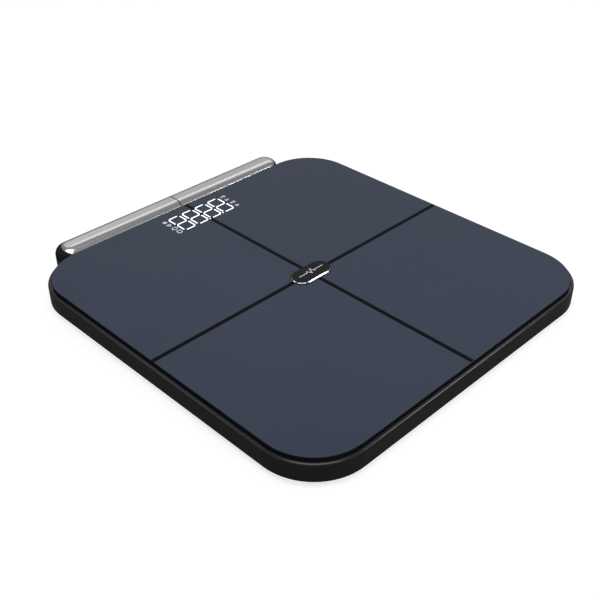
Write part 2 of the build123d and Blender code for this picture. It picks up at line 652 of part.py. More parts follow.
# ================================================================ handle's lead and its reel
REEL_R, REEL_WALL, REEL_FLOOR = 30.0, 1.6, 0.8
REEL_HIGH, REEL_COVER = 16.9, 0.9
AXLE_R, AXLE_RUN = 3.0, 0.05
with BuildPart() as reel_case:
    with BuildSketch(level(BASE_TOP)):
        with Locations((REEL_X, REEL_Y)):
            Circle(REEL_R)
    extrude(amount=REEL_HIGH - BASE_TOP)
    with BuildSketch(level(BASE_TOP + REEL_FLOOR)):
        with Locations((REEL_X, REEL_Y)):
            Circle(REEL_R - REEL_WALL)
    extrude(amount=THROUGH, mode=Mode.SUBTRACT)
    with BuildSketch(level(BASE_TOP + REEL_FLOOR)):  # mouth for the lead
        with Locations((REEL_X + WINDING_R, REEL_Y + 22)):
            Rectangle(4, 26)
    extrude(amount=6, mode=Mode.SUBTRACT)
save(reel_case, "reel_case")

with BuildPart() as reel_cover:
    with BuildSketch(level(REEL_HIGH)):
        with Locations((REEL_X, REEL_Y)):
            Circle(REEL_R)
            Circle(AXLE_R + 0.1, mode=Mode.SUBTRACT)
    extrude(amount=REEL_COVER)
save(reel_cover, "reel_cover")

with BuildPart() as reel_axle:  # stands on the case's floor and ends within the cover
    with BuildSketch(level(BASE_TOP + REEL_FLOOR)):
        with Locations((REEL_X, REEL_Y)):
            Circle(AXLE_R)
    extrude(amount=REEL_HIGH - BASE_TOP)
save(reel_axle, "reel_axle")

DRUM_LOW, DRUM_HIGH = BASE_TOP + 1.0, 16.5
DRUM_R, CHEEK = 26.5, 0.7  # the drum's two cheeks
HUB_R, HUB_WALL, SPINDLE_R = 14.6, 1.2, 5.0
with BuildPart() as reel_drum:
    with BuildSketch(level(DRUM_LOW)):
        with Locations((REEL_X, REEL_Y)):
            Circle(DRUM_R)
    extrude(amount=CHEEK)
    with BuildSketch(level(DRUM_LOW)):
        with Locations((REEL_X, REEL_Y)):
            Circle(HUB_R)
    extrude(amount=DRUM_HIGH - DRUM_LOW)
    with BuildSketch(level(DRUM_HIGH - CHEEK)):
        with Locations((REEL_X, REEL_Y)):
            Circle(DRUM_R)
    extrude(amount=CHEEK)
    with BuildSketch(level(DRUM_LOW + 1.0)):  # room for the spring between the hub and the spindle
        with Locations((REEL_X, REEL_Y)):
            Circle(HUB_R - HUB_WALL)
            Circle(SPINDLE_R, mode=Mode.SUBTRACT)
    extrude(amount=THROUGH, mode=Mode.SUBTRACT)
    with BuildSketch(level(DRUM_LOW)):
        with Locations((REEL_X, REEL_Y)):
            Circle(AXLE_R + AXLE_RUN)
    extrude(amount=THROUGH, mode=Mode.SUBTRACT)
save(reel_drum, "reel_drum")

SPRING_R, SPRING_STEP, SPRING_TURNS, SPRING_WIRE = 5.9, 0.8, 9, 0.35
with BuildPart() as reel_spring:  # flat spiral: half turns, each wider than the last
    for turn in range(SPRING_TURNS):
        side = 1 if turn % 2 == 0 else -1
        with BuildSketch(level(DRUM_LOW + 1.2)):
            with BuildLine() as coil:
                CenterArc(
                    (REEL_X + side * SPRING_STEP / 2, REEL_Y),
                    SPRING_R + turn * SPRING_STEP,
                    0 if side > 0 else 180,
                    180,
                )
            trace(coil.edges(), line_width=SPRING_WIRE)
        extrude(amount=5)
save(reel_spring, "reel_spring")

with BuildPart() as lead_winding:
    with BuildSketch(level(DRUM_LOW + CHEEK + 0.1)):
        with Locations((REEL_X, REEL_Y)):
            Circle(WINDING_R + LEAD_R)
            Circle(HUB_R + 0.05, mode=Mode.SUBTRACT)
    extrude(amount=DRUM_HIGH - DRUM_LOW - 2 * (CHEEK + 0.1))
save(lead_winding, "lead_winding")

RUN_START = REEL_Y + 9.8  # where the lead leaves the winding
RISER_LOW = LEAD_Z + LEAD_BEND + 0.2
LEAD_OUT = [
    (0, PLATFORM_Y + RUN_START, LEAD_Z),
    (0, PLATFORM_Y + BAR_Y, LEAD_Z),
    (0, PLATFORM_Y + BAR_Y, RISER_LOW),
]
with BuildPart() as lead_run:
    lead_tube(LEAD_OUT, LEAD_R, [LEAD_BEND])
save(lead_run, "lead_run")

with BuildPart() as lead_riser:
    with BuildSketch(bar_level(RISER_LOW)):
        Circle(LEAD_R)
    extrude(amount=2.0)
save(lead_riser, "lead_riser")

DOCK_WALL = 1.7
DOCK_TOP = BAR_SPLIT - SLIP
BEND_TOP = LEAD_Z + LEAD_BEND
HORN_R = LEAD_BEND - LEAD_R - 0.1
HORN_Y = BAR_Y - LEAD_BEND
HORN_ROOT = BAR_Y - BAR_R + DOCK_WALL  # inner face of the dock's near wall
HORN_BACK = HORN_ROOT + 1.5
HORN_HALF = 2.6  # half the horn's width
with BuildPart() as lead_guide:  # rounded horn that the lead turns up over
    with BuildSketch(across(0)):
        with BuildLine():
            CenterArc((HORN_Y, BEND_TOP), HORN_R, 0, -90)
            Polyline(
                (HORN_Y, BEND_TOP - HORN_R),
                (HORN_ROOT, BEND_TOP - HORN_R),
                (HORN_ROOT, DOCK_TOP),
                (HORN_BACK, DOCK_TOP),
                (HORN_BACK, BEND_TOP),
                (HORN_Y + HORN_R, BEND_TOP),
            )
        make_face()
    extrude(amount=HORN_HALF, both=True)
save(lead_guide, "lead_guide")

with BuildPart() as lead_grommet:  # bush in the housing's rear wall
    with Locations((0, PLATFORM_Y + OUT_HALF - WALL / 2 - 0.3, LEAD_Z)):
        Cylinder(OUTLET_R - 0.05, WALL + 0.6, rotation=(90, 0, 0))
        Cylinder(LEAD_R + 0.15, WALL + 2, rotation=(90, 0, 0), mode=Mode.SUBTRACT)
save(lead_grommet, "lead_grommet")

# ================================================================ dock behind the platform
DOCK_FLOOR = BASE + 2.2
SCOOP = 92.0  # finger scoop along the back
with BuildPart() as rear_dock:
    with BuildSketch(bar_level(BASE)):
        stadium(BAR_LENGTH, BAR_DEPTH)
    extrude(amount=DOCK_TOP - BASE)
    chamfer(rear_dock.faces().sort_by(Axis.Z)[0].edges(), BOTTOM_BEVEL)
    with BuildSketch(bar_level(DOCK_FLOOR)):
        stadium(BAR_LENGTH - 2 * DOCK_WALL, BAR_DEPTH - 2 * DOCK_WALL)
    extrude(amount=THROUGH, mode=Mode.SUBTRACT)
    with BuildSketch(level(BASE)):  # tongue under the housing
        with Locations((0, (TONGUE_IN + BAR_Y - BAR_R + 2) / 2)):
            Rectangle(TONGUE_W, BAR_Y - BAR_R + 2 - TONGUE_IN)
        with Locations(*DOCK_SCREWS):
            Circle(1.6, mode=Mode.SUBTRACT)
    extrude(amount=PLATE)
    with BuildSketch(bar_level(DOCK_FLOOR + 1.4)):
        with Locations((0, BAR_R)):
            Rectangle(SCOOP, 6)
    extrude(amount=THROUGH, mode=Mode.SUBTRACT)
    with Locations((0, PLATFORM_Y + BAR_Y - BAR_R, LEAD_Z)):
        Cylinder(LEAD_R + 0.5, 6, rotation=(90, 0, 0), mode=Mode.SUBTRACT)
save(rear_dock, "rear_dock")

with BuildPart() as dock_screws:
    with BuildSketch(level(BASE_TOP)):
        with Locations(*DOCK_SCREWS):
            Circle(3)
            Rectangle(3.6, 0.7, mode=Mode.SUBTRACT)
    extrude(amount=1.6)
    with BuildSketch(level(BASE + 0.3)):
        with Locations(*DOCK_SCREWS):
            Circle(1.5)
    extrude(amount=PLATE - 0.3)
save(dock_screws, "dock_screws")

# ================================================================ handle bar
SKIN = 0.7  # thickness of the metal electrodes
SHELL = 1.8
INSET = 2.3  # the bar's lower half sits inside the dock
LOWER_L, LOWER_D = BAR_LENGTH - 2 * INSET, BAR_DEPTH - 2 * INSET
GRIP_L, GRIP_D, GRIP_Y = 226.6, 16.3, -2.4  # outline of the metal on top, a little towards the user
SEAM = 1.0  # between the two metal halves
LEAD_SLOT_W = 6.4
FINGER_X, FINGER_L, FINGER_D = 58.0, 91.8, 10.8  # electrodes under the bar

with BuildPart(mode=Mode.PRIVATE) as outer_dome:
    with BuildSketch(bar_level(BAR_SPLIT)):
        stadium(BAR_LENGTH, BAR_DEPTH)
    extrude(amount=BAR_TOP - BAR_SPLIT)
    fillet(outer_dome.faces().sort_by(Axis.Z)[-1].edges(), BAR_DOME)

with BuildPart(mode=Mode.PRIVATE) as under_skin:
    with BuildSketch(bar_level(BAR_SPLIT)):
        stadium(BAR_LENGTH - 2 * SKIN, BAR_DEPTH - 2 * SKIN)
    extrude(amount=BAR_TOP - SKIN - BAR_SPLIT)
    fillet(under_skin.faces().sort_by(Axis.Z)[-1].edges(), BAR_DOME - SKIN)

with BuildPart(mode=Mode.PRIVATE) as grip_column:
    with BuildSketch(bar_level(BAR_SPLIT + 1)):
        with Locations((0, GRIP_Y)):
            stadium(GRIP_L, GRIP_D)
    extrude(amount=THROUGH)

with BuildPart(mode=Mode.PRIVATE) as grip_skin:
    add(outer_dome.part)
    add(grip_column.part, mode=Mode.INTERSECT)
    add(under_skin.part, mode=Mode.SUBTRACT)

GRIP_HALVES = {}  # the metal of each half of the bar, parted by the seam
for side, sx in (("left", -1), ("right", 1)):
    with BuildPart() as grip_electrode:
        add(grip_skin.part)
        with BuildSketch(bar_level(0)):
            with Locations((sx * (BAR_LENGTH + SEAM) / 2, 0)):
                Rectangle(BAR_LENGTH, 2 * BAR_DEPTH)
        extrude(amount=2 * THROUGH, mode=Mode.INTERSECT)
    GRIP_HALVES[side] = grip_electrode.part
    save(grip_electrode, f"grip_electrode_{side}")

with BuildPart() as handle_top:
    add(outer_dome.part)
    with BuildSketch(bar_level(BAR_SPLIT)):
        stadium(BAR_LENGTH - 2 * (SHELL + SKIN), BAR_DEPTH - 2 * (SHELL + SKIN))
    extrude(amount=BAR_TOP - SHELL - SKIN - BAR_SPLIT, taper=12, mode=Mode.SUBTRACT)
    for metal in GRIP_HALVES.values():
        add(metal, mode=Mode.SUBTRACT)
save(handle_top, "handle_top")

with BuildPart() as handle_bottom:
    with BuildSketch(bar_level(BAR_BOTTOM)):
        stadium(LOWER_L, LOWER_D)
    extrude(amount=BAR_SPLIT - BAR_BOTTOM)
    fillet(handle_bottom.faces().sort_by(Axis.Z)[0].edges(), 2.4)
    with BuildSketch(bar_level(BAR_BOTTOM + SHELL)):
        stadium(LOWER_L - 2 * SHELL, LOWER_D - 2 * SHELL)
    extrude(amount=THROUGH, mode=Mode.SUBTRACT)
    with BuildSketch(bar_level(BAR_BOTTOM)):  # slot that drops over the lead and its guide
        with Locations((0, -3)):
            Rectangle(LEAD_SLOT_W, 18)
    extrude(amount=THROUGH, mode=Mode.SUBTRACT)
    with BuildSketch(bar_level(BAR_BOTTOM)):  # beds of the lower electrodes
        with Locations((-FINGER_X, 0), (FINGER_X, 0)):
            SlotOverall(FINGER_L + 0.2, FINGER_D + 0.2)
    extrude(amount=SKIN, mode=Mode.SUBTRACT)
save(handle_bottom, "handle_bottom")

for side, sx in (("left", -1), ("right", 1)):
    with BuildPart() as finger_electrode:
        with BuildSketch(bar_level(BAR_BOTTOM)):
            with Locations((sx * FINGER_X, 0)):
                SlotOverall(FINGER_L, FINGER_D)
        extrude(amount=SKIN)
    save(finger_electrode, f"finger_electrode_{side}")

CLAMP, CLAMP_LOW = 9.0, BEND_TOP + 0.8
with BuildPart() as lead_anchor:  # clamp that grips the lead's end in the bar
    with BuildSketch(bar_level(CLAMP_LOW)):
        RectangleRounded(CLAMP, CLAMP, 1.5)
        Circle(LEAD_R + 0.05, mode=Mode.SUBTRACT)
    extrude(amount=BAR_TOP - SHELL - SKIN - CLAMP_LOW)
save(lead_anchor, "lead_anchor")

with BuildPart() as handle_board:
    with BuildSketch(bar_level(BAR_BOTTOM + SHELL)):
        with Locations((-30, 0)):
            Rectangle(44, 12)
    extrude(amount=1.0)
save(handle_board, "handle_board")

for name in sorted(os.listdir("parts")):
    print(name)
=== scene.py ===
"""Looks for the digital body-analysis bathroom scale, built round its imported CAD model."""

import json
import math

import bmesh
import bpy
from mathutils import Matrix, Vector


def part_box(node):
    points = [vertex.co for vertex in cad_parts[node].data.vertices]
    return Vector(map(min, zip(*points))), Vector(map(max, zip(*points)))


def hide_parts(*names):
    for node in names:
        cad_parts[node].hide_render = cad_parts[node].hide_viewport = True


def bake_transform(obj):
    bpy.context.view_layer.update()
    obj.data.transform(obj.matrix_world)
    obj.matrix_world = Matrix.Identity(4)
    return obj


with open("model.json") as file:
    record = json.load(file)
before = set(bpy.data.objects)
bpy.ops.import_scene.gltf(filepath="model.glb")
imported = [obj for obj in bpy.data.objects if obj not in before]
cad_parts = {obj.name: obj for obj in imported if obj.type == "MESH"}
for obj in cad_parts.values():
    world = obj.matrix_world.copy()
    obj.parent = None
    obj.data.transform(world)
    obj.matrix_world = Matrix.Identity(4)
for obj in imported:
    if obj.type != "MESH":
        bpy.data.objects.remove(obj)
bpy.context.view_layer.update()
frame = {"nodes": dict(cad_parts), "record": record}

MM = 0.001
SLOT_OF = {part["node"]: part["material_slot"] for part in frame["record"]["subparts"]}

# ---------------------------------------------------------------- places, all from the CAD model
glass_low, glass_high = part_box("glass_platform")
platform_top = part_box("electrode_front_left")[1].z
platform_middle = Vector(((glass_low.x + glass_high.x) / 2, (glass_low.y + glass_high.y) / 2, platform_top))


# ================================================================ camera, lights and floor
LENS = 55.0
SENSOR = 36.0
CAMERA_AZIMUTH = math.radians(-45.0)
CAMERA_ELEVATION = math.radians(35.04)
CAMERA_DISTANCE = 0.6636
AIM_OFFSET = Vector((-0.03135, -0.01965, 0.0004))

# the world's grey turns from horizon to sky between these heights of the direction looked in
HORIZON_HEIGHT = 0.05
SKY_HEIGHT = 0.75
RANGE_SOCKETS = ("From Min", "From Max", "To Min", "To Max")

FLOOR_HALF = 6.0
FLOOR_LEVEL = -0.02 * MM


def toward(azimuth, elevation):
    """Unit vector from the object towards a place at that azimuth (0 is -Y, 90 is +X) and elevation."""
    flat = math.cos(elevation)
    return Vector((math.sin(azimuth) * flat, -math.cos(azimuth) * flat, math.sin(elevation)))


def make_camera():
    """The camera: a three-quarter view over the platform's front left corner."""
    data = bpy.data.cameras.new("camera")
    data.lens = LENS
    data.sensor_width = SENSOR
    data.clip_start = 0.02
    camera = bpy.data.objects.new("camera", data)
    back = toward(CAMERA_AZIMUTH, CAMERA_ELEVATION)
    camera.location = platform_middle + AIM_OFFSET + back * CAMERA_DISTANCE
    camera.rotation_mode = "QUATERNION"
    camera.rotation_quaternion = (-back).to_track_quat("-Z", "Y")
    bpy.context.scene.collection.objects.link(camera)
    bpy.context.scene.camera = camera


def softbox(name, azimuth, elevation, distance, width, height, radiance):
    """A rectangular soft light, hidden from the camera, facing the platform's middle. Angles in degrees."""
    data = bpy.data.lights.new(name, "AREA")
    data.shape = "RECTANGLE"
    data.size = width
    data.size_y = height
    data.energy = radiance * math.pi * width * height
    light = bpy.data.objects.new(name, data)
    back = toward(math.radians(azimuth), math.radians(elevation))
    light.location = platform_middle + back * distance
    light.rotation_mode = "QUATERNION"
    light.rotation_quaternion = back.to_track_quat("Z", "Y")
    light.visible_camera = False
    bpy.context.scene.collection.objects.link(light)


def make_world(seen, sky, horizon):
    """A plain white backdrop for the camera, and a grey studio for everything that reflects it."""
    world = bpy.data.worlds.new("studio")
    bpy.context.scene.world = world
    world.use_nodes = True
    tree = world.node_tree
    tree.nodes.clear()
    place = tree.nodes.new("ShaderNodeTexCoord")
    split = tree.nodes.new("ShaderNodeSeparateXYZ")
    ramp = tree.nodes.new("ShaderNodeMapRange")
    ramp.interpolation_type = "SMOOTHSTEP"
    for socket, value in zip(RANGE_SOCKETS, (HORIZON_HEIGHT, SKY_HEIGHT, horizon, sky)):
        ramp.inputs[socket].default_value = value
    ray = tree.nodes.new("ShaderNodeLightPath")
    strength = tree.nodes.new("ShaderNodeMix")
    strength.inputs["B"].default_value = seen
    background = tree.nodes.new("ShaderNodeBackground")
    output = tree.nodes.new("ShaderNodeOutputWorld")
    tree.links.new(place.outputs["Generated"], split.inputs["Vector"])
    tree.links.new(split.outputs["Z"], ramp.inputs["Value"])
    tree.links.new(ray.outputs["Is Camera Ray"], strength.inputs["Factor"])
    tree.links.new(ramp.outputs["Result"], strength.inputs["A"])
    tree.links.new(strength.outputs["Result"], background.inputs["Strength"])
    tree.links.new(background.outputs["Background"], output.inputs["Surface"])


def make_lights():
    """Broad soft light from above, and narrow lights that draw the bright lines along rims and metal."""
    softbox("overhead", azimuth=-45, elevation=72, distance=2.2, width=1.9, height=1.9, radiance=2.8)
    # mirrored by the rim's rounded front edge, the badge's band and the grip bar's near edge
    softbox("key", azimuth=41, elevation=24, distance=2.4, width=0.6, height=0.4, radiance=15.0)
    # mirrored by the rim at the near corner and on the left
    softbox("front_strip", azimuth=-45, elevation=52, distance=2.4, width=2.6, height=0.3, radiance=3.0)
    softbox("left_rim", azimuth=-131, elevation=27, distance=2.4, width=0.6, height=0.4, radiance=3.2)
    # the light stripe along the grip bar's top, inside two wider and weaker bands
    softbox("back_strip", azimuth=129, elevation=42, distance=2.4, width=2.0, height=0.3, radiance=0.8)
    softbox("back_band", azimuth=129, elevation=42, distance=2.5, width=2.4, height=0.9, radiance=0.35)
    softbox("back_glow", azimuth=129, elevation=36, distance=2.6, width=2.8, height=1.9, radiance=0.30)
    # a little light on the underside
    softbox("under", azimuth=0, elevation=-89, distance=1.5, width=2.0, height=2.0, radiance=0.10)


# ================================================================ material helpers
NOISE_LOW = 0.3
NOISE_HIGH = 0.7


def shader(name, color, roughness, **sockets):
    """A new material with one Principled shader. Values that don't vary sit on the shader's own sockets."""
    made = bpy.data.materials.new(name)
    made.use_nodes = True
    surface = surface_of(made)
    surface.inputs["Base Color"].default_value = (*color, 1)
    surface.inputs["Roughness"].default_value = roughness
    for socket, value in sockets.items():
        surface.inputs[socket.replace("_", " ")].default_value = value
    return made


def add_node(made, kind, **values):
    """One more node in a material, with some of its sockets set."""
    node = made.node_tree.nodes.new(kind)
    for socket, value in values.items():
        node.inputs[socket.replace("_", " ")].default_value = value
    return node


def link(made, output, socket):
    """Wires one node's output to another's input."""
    made.node_tree.links.new(output, socket)


def mapped(made, stretch=(1, 1, 1), turn=0.0):
    """The surface's place in metres, stretched along an axis by scaling that axis down."""
    place = add_node(made, "ShaderNodeTexCoord")
    mapping = add_node(made, "ShaderNodeMapping", Scale=stretch, Rotation=(0, 0, turn))
    link(made, place.outputs["Object"], mapping.inputs["Vector"])
    return mapping.outputs["Vector"]


def noise(made, size, stretch=(1, 1, 1), detail=2.0, turn=0.0):
    """Noise with features about size metres across, mostly between NOISE_LOW and NOISE_HIGH."""
    node = add_node(made, "ShaderNodeTexNoise", Scale=1 / size, Detail=detail)
    link(made, mapped(made, stretch, turn), node.inputs["Vector"])
    return node.outputs["Fac"]


def cells(made, size):
    """Rounded cells about size metres across, as a value from 0 at their middles."""
    node = add_node(made, "ShaderNodeTexVoronoi", Scale=1 / size)
    link(made, mapped(made), node.inputs["Vector"])
    return node.outputs["Distance"]


def fit(made, value, low, high, start=NOISE_LOW, end=NOISE_HIGH):
    """value, from start to end, becomes low to high."""
    node = add_node(made, "ShaderNodeMapRange")
    for socket, number in zip(RANGE_SOCKETS, (start, end, low, high)):
        node.inputs[socket].default_value = number
    link(made, value, node.inputs["Value"])
    return node.outputs["Result"]


def edges(made, radius):
    """About 1 on edges that are sharper than radius, and 0 on open surfaces."""
    rounded = add_node(made, "ShaderNodeBevel", Radius=radius)
    rounded.samples = 4
    plain = add_node(made, "ShaderNodeNewGeometry")
    match = add_node(made, "ShaderNodeVectorMath")
    match.operation = "DOT_PRODUCT"
    link(made, rounded.outputs["Normal"], match.inputs[0])
    link(made, plain.outputs["Normal"], match.inputs[1])
    return fit(made, match.outputs["Value"], low=1.0, high=0.0, start=0.80, end=0.99)


def times(made, a, b):
    """The product of two values."""
    node = add_node(made, "ShaderNodeMath")
    node.operation = "MULTIPLY"
    link(made, a, node.inputs[0])
    link(made, b, node.inputs[1])
    return node.outputs["Value"]


def tint(made, value, color):
    """Where value is 1 the base colour turns to color, over whatever it is so far."""
    base = surface_of(made).inputs["Base Color"]
    mix = made.node_tree.nodes.new("ShaderNodeMix")
    mix.data_type = "RGBA"
    under, over, result = mix.inputs[6], mix.inputs[7], mix.outputs[2]
    if base.is_linked:
        link(made, base.links[0].from_socket, under)
    else:
        under.default_value = base.default_value[:]
    over.default_value = (*color, 1)
    link(made, value, mix.inputs[0])
    link(made, result, base)


def gloss(made, value, smooth, rough):
    """Roughness runs from smooth to rough with value."""
    link(made, fit(made, value, smooth, rough), surface_of(made).inputs["Roughness"])


def surface_of(made):
    """The material's Principled shader."""
    return made.node_tree.nodes["Principled BSDF"]


def relief(made, value, depth):
    """value raises the surface by up to depth metres, on top of any relief that it has so far."""
    bump = add_node(made, "ShaderNodeBump", Strength=1.0, Distance=depth)
    normal = surface_of(made).inputs["Normal"]
    if normal.is_linked:
        link(made, normal.links[0].from_socket, bump.inputs["Normal"])
    link(made, value, bump.inputs["Height"])
    link(made, bump.outputs["Normal"], normal)


# ================================================================ materials
def electrode_coating():
    """Slate blue conductive coating on the glass: satin, with a fine etched grain and faint smudges."""
    made = shader("electrode_coating", (0.0245, 0.0340, 0.0590), 0.34, Specular_IOR_Level=0.16)
    smudges = noise(made, 55 * MM, detail=4.0)
    tint(made, fit(made, smudges, 0.0, 0.35), (0.0280, 0.0378, 0.0635))
    gloss(made, smudges, 0.30, 0.38)
    relief(made, noise(made, 0.35 * MM, detail=3.0), 0.012 * MM)
    return made


def platform_glass():
    """The glass itself: dark, as seen at its ground and polished edge."""
    made = shader("platform_glass", (0.007, 0.008, 0.011), 0.14, Specular_IOR_Level=0.06)
    gloss(made, noise(made, 6 * MM, detail=3.0), 0.10, 0.20)
    tint(made, fit(made, noise(made, 18 * MM), 0.0, 0.5), (0.010, 0.014, 0.018))
    relief(made, noise(made, 0.6 * MM, stretch=(1, 1, 4)), 0.01 * MM)
    return made


def divider_print():
    """Black ink between the electrodes."""
    made = shader("divider_print", (0.0018, 0.0020, 0.0028), 0.35, Specular_IOR_Level=0.03)
    gloss(made, noise(made, 9 * MM, detail=3.0), 0.30, 0.42)
    tint(made, fit(made, noise(made, 0.5 * MM), 0.0, 0.5), (0.0028, 0.0030, 0.0038))
    relief(made, noise(made, 0.4 * MM), 0.01 * MM)
    return made


def moulded(name, color, worn, rough_low, rough_high, grain, depth, ior=1.36):
    """Moulded plastic: spark-eroded grain, a mottled gloss, and edges that have rubbed a little shiny."""
    made = shader(name, color, rough_high, IOR=ior)
    mottle = noise(made, 14 * MM, detail=4.0)
    gloss(made, mottle, rough_low, rough_high)
    tint(made, fit(made, mottle, 0.0, 0.45), worn)
    tint(made, times(made, edges(made, 0.5 * MM), fit(made, noise(made, 4 * MM), 0.1, 0.8)), worn)
    relief(made, cells(made, grain), depth)
    relief(made, noise(made, grain / 2, detail=3.0), depth / 2)
    return made


def rubber(name, color, dust, grain, depth):
    """Soft rubber: matt, with fine grain and a little dust."""
    made = shader(name, color, 0.8, Specular_IOR_Level=0.25)
    gloss(made, noise(made, 5 * MM, detail=4.0), 0.68, 0.9)
    tint(made, fit(made, noise(made, 3 * MM, detail=5.0), 0.0, 0.5, start=0.45, end=0.75), dust)
    relief(made, noise(made, grain, detail=4.0), depth)
    return made


def brushed(
    name, color, shade, rough_low, rough_high, stretch, line=0.12 * MM, blotch=0.35, depth=0.004 * MM
):
    """Brushed metal: fine scratches drawn out along one axis, and a mottled gloss."""
    made = shader(name, color, rough_low, Metallic=1.0)
    lines = noise(made, line, stretch=stretch, detail=3.0)
    gloss(made, lines, rough_low, rough_high)
    tint(made, fit(made, lines, 0.0, 0.5), shade)
    tint(made, fit(made, noise(made, 25 * MM, detail=3.0), 0.0, blotch), shade)
    relief(made, lines, depth)
    return made


def polished(name, color, shade, rough_low, rough_high):
    """Plated or polished metal with faint handling marks."""
    made = shader(name, color, rough_low, Metallic=1.0)
    marks = noise(made, 3 * MM, detail=5.0)
    gloss(made, marks, rough_low, rough_high)
    tint(made, fit(made, marks, 0.0, 0.6), shade)
    relief(made, noise(made, 0.8 * MM, detail=2.0), 0.003 * MM)
    return made


def glossy(name, color, shade, rough_low, rough_high, specular):
    """High-gloss plastic or lacquer with hairline swirls."""
    made = shader(name, color, rough_low, Specular_IOR_Level=specular)
    swirls = noise(made, 2.2 * MM, stretch=(1, 0.25, 1), detail=4.0, turn=0.6)
    gloss(made, swirls, rough_low, rough_high)
    tint(made, fit(made, swirls, 0.0, 0.5), shade)
    relief(made, swirls, 0.004 * MM)
    return made


def lit(name, color, strength):
    """Lit figures: white light through a diffusing print, a touch uneven."""
    made = shader(name, color, 0.4, Emission_Color=(*color, 1), Emission_Strength=strength)
    gloss(made, noise(made, 1.5 * MM), 0.3, 0.5)
    tint(made, fit(made, noise(made, 6 * MM, detail=3.0), 0.0, 0.4), (0.84, 0.88, 0.95))
    relief(made, noise(made, 0.3 * MM), 0.01 * MM)
    return made


def circuit_board():
    """Green solder resist with a pattern of tracks under it."""
    made = shader("circuit_board", (0.010, 0.095, 0.035), 0.3, Specular_IOR_Level=0.5)
    tracks = add_node(made, "ShaderNodeTexBrick", Scale=1 / (6 * MM), Mortar_Size=0.06)
    link(made, mapped(made), tracks.inputs["Vector"])
    tint(made, tracks.outputs["Fac"], (0.03, 0.20, 0.08))
    relief(made, tracks.outputs["Fac"], 0.03 * MM)
    gloss(made, noise(made, 8 * MM, detail=3.0), 0.22, 0.4)
    return made


def battery_skin():
    """A plain printed sleeve: dark grey with a metallic sheen, faintly mottled and rubbed."""
    made = shader("battery_skin", (0.035, 0.037, 0.042), 0.3, Metallic=0.6)
    tint(made, fit(made, noise(made, 5 * MM, detail=4.0), 0.0, 0.6), (0.07, 0.075, 0.085))
    gloss(made, noise(made, 2 * MM, stretch=(1, 0.3, 1), detail=3.0), 0.22, 0.4)
    relief(made, noise(made, 0.5 * MM, stretch=(1, 0.2, 1)), 0.01 * MM)
    return made


def foam_tape():
    """Black foam tape under the glass."""
    return rubber(
        "foam_tape", color=(0.010, 0.010, 0.011), dust=(0.02, 0.02, 0.021), grain=0.3 * MM,
        depth=0.08 * MM,
    )


def badge_chrome():
    """Satin chrome of the band round the badge."""
    return polished(
        "badge_chrome", color=(0.46, 0.47, 0.49), shade=(0.36, 0.37, 0.39), rough_low=0.16,
        rough_high=0.26,
    )


def badge_black():
    """The badge's black lacquer."""
    return glossy(
        "badge_black", color=(0.005, 0.005, 0.005), shade=(0.009, 0.009, 0.009), rough_low=0.10,
        rough_high=0.18, specular=0.07,
    )


def badge_silver():
    """The silver mark on the badge."""
    return brushed(
        "badge_silver", color=(0.62, 0.63, 0.66), shade=(0.5, 0.51, 0.54), rough_low=0.25,
        rough_high=0.4, stretch=(0.05, 1, 1),
    )


def display_white():
    """The lit figures."""
    return lit("display_white", color=(0.95, 0.97, 1.0), strength=0.9)


def icon_white():
    """The lit icons, dimmer than the figures."""
    return lit("icon_white", color=(0.80, 0.82, 0.86), strength=0.5)


def lightbox_white():
    """White plastic of the display's light box."""
    return moulded(
        "lightbox_white", color=(0.72, 0.72, 0.70), worn=(0.62, 0.61, 0.58), rough_low=0.45,
        rough_high=0.6, grain=0.4 * MM, depth=0.01 * MM,
    )


def chip_black():
    """Chips and other parts on the boards."""
    return moulded(
        "chip_black", color=(0.012, 0.012, 0.013), worn=(0.03, 0.03, 0.031), rough_low=0.4,
        rough_high=0.6, grain=0.3 * MM, depth=0.01 * MM,
    )


def housing_black():
    """The housing frame and the dock behind it: glossy black plastic with hardly any grain."""
    return moulded(
        "housing_black", color=(0.0150, 0.0150, 0.0148), worn=(0.0185, 0.0185, 0.0184), rough_low=0.14,
        rough_high=0.20, grain=0.45 * MM, depth=0.003 * MM, ior=1.40,
    )


def base_black():
    """The cover under the platform, its battery bay and door and the button: matt black, grained plastic."""
    return moulded(
        "base_black", color=(0.020, 0.020, 0.0207), worn=(0.034, 0.034, 0.0350), rough_low=0.46,
        rough_high=0.62, grain=0.6 * MM, depth=0.02 * MM,
    )


def handle_black():
    """The grip bar's shells: satin black plastic."""
    return moulded(
        "handle_black", color=(0.0070, 0.0070, 0.0072), worn=(0.0100, 0.0100, 0.0102), rough_low=0.48,
        rough_high=0.60, grain=0.4 * MM, depth=0.005 * MM, ior=1.25,
    )


def grip_steel():
    """The grip bar's electrodes: steel brushed along the bar."""
    return brushed(
        "grip_steel", color=(0.61, 0.61, 0.61), shade=(0.56, 0.56, 0.56), rough_low=0.18,
        rough_high=0.25, stretch=(0.012, 1, 1), line=0.08 * MM, blotch=0.08, depth=0.002 * MM,
    )


def foot_rubber():
    """The feet's rubber pads."""
    return rubber(
        "foot_rubber", color=(0.018, 0.018, 0.019), dust=(0.05, 0.048, 0.045), grain=0.4 * MM,
        depth=0.04 * MM,
    )


def foot_plastic():
    """The feet's plastic cups."""
    return moulded(
        "foot_plastic", color=(0.020, 0.020, 0.021), worn=(0.04, 0.04, 0.041), rough_low=0.42,
        rough_high=0.56, grain=0.5 * MM, depth=0.015 * MM,
    )


def cell_steel():
    """The load cells: steel with a ground finish."""
    return brushed(
        "cell_steel", color=(0.50, 0.50, 0.49), shade=(0.40, 0.40, 0.39), rough_low=0.3,
        rough_high=0.45, stretch=(1, 0.03, 1),
    )


def sealant():
    """Soft white sealant over the strain gauges."""
    return rubber(
        "sealant", color=(0.62, 0.62, 0.58), dust=(0.5, 0.5, 0.46), grain=0.8 * MM, depth=0.08 * MM,
    )


